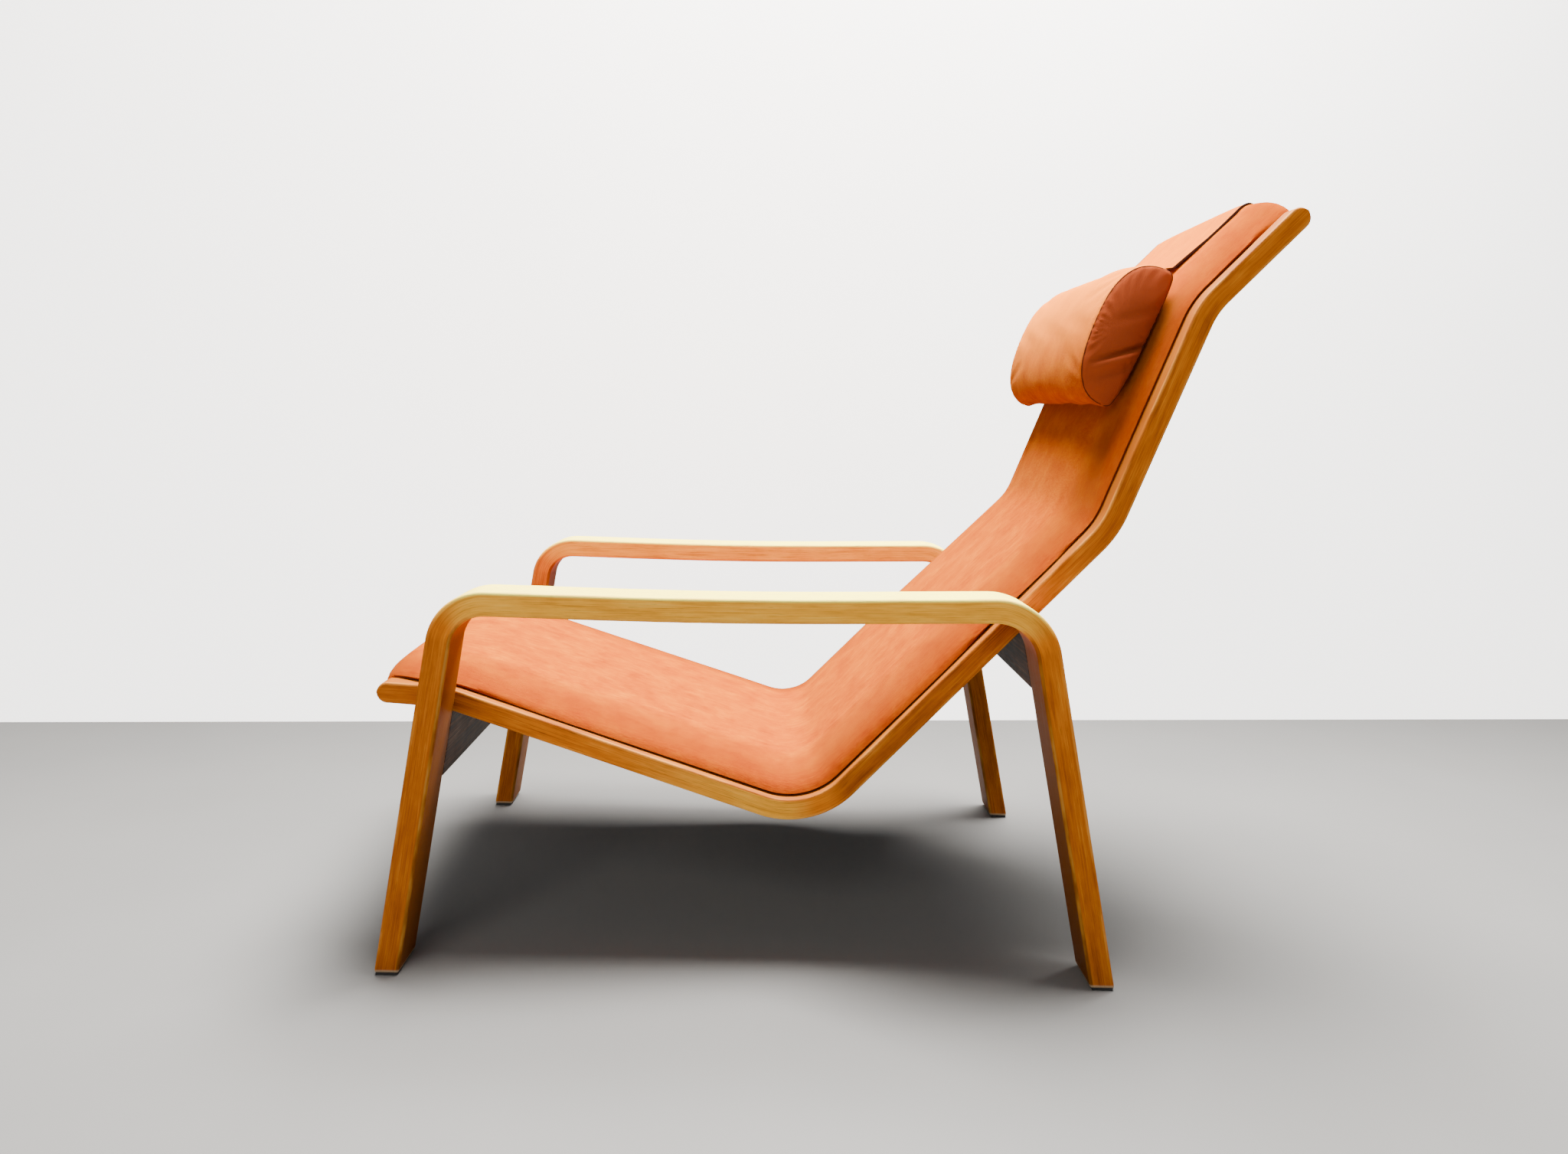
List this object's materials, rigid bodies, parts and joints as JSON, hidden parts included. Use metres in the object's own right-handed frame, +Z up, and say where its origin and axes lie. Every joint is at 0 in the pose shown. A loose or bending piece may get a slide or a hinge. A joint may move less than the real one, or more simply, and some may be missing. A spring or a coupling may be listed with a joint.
{
  "type": "lounge chair",
  "caption": "Low lounge chair with bent laminated side frames, zig-zag seat rails, one long felt pad and a sliding head cushion on a flap.",
  "frame": {"origin": "on the floor, under the centre of the chair's bounding box", "axes": "+Z up, the chair faces -Y, X across the chair"},
  "size_m": [0.66, 1.0186, 0.8972],
  "materials": {
    "veneer": "honey-coloured laminated wood, oiled",
    "inner_wood": "plain beech, unfinished",
    "dark_board": "dark stained wood, worn",
    "felt": "orange wool felt",
    "foam": "open foam",
    "web": "woven elastic web",
    "dust_cloth": "thin black cloth",
    "edge_leather": "dark brown leather",
    "steel": "zinc-plated steel",
    "brass": "plain",
    "glide": "dark plastic"
  },
  "bodies": {
    "chair": {"side_frame_left": "veneer", "side_frame_right": "veneer", "seat_rail_left": "veneer", "seat_rail_right": "veneer", "front_board": "dark_board", "rear_board": "dark_board", "board_dowels": "inner_wood", "nose_cross_rail": "inner_wood", "hip_cross_rail": "inner_wood", "back_cross_rail": "inner_wood", "top_panel": "inner_wood", "cross_rail_dowels": "inner_wood", "rail_bolts": "steel", "bolt_washers": "steel", "threaded_inserts": "brass", "foot_glides": "glide", "seat_webbing": "web", "back_webbing": "web", "webbing_clips": "steel", "pad_foam": "foam", "pad_cover": "felt", "cover_tacks": "steel", "under_cloth": "dust_cloth", "stud_posts": "steel", "flap_over_top": "felt", "flap_over_top_binding": "edge_leather", "flap_front": "felt", "flap_front_binding": "edge_leather", "flap_rear": "felt", "flap_rear_binding": "edge_leather"},
    "headrest": {"headrest_cover": "felt", "headrest_filling": "foam", "headrest_piping": "felt"},
    "flap_tail": {"tail_band": "edge_leather", "stud_caps": "steel"}
  },
  "joints": [
    {"name": "headrest_slide", "type": "slide", "parent": "chair", "child": "headrest", "axis": [0, 0.3502, 0.9367], "range_m": [-0.06, 0], "deforming": ["flap_front", "flap_front_binding"]},
    {"name": "flap_tail_slide", "type": "slide", "parent": "chair", "child": "flap_tail", "axis": [0, 0.6884, 0.7254], "range_m": [0, 0.06], "deforming": ["flap_rear", "flap_rear_binding"]}
  ],
  "couplings": [
    {"joint": "flap_tail_slide", "follows": "headrest_slide", "ratio": -1}
  ]
}
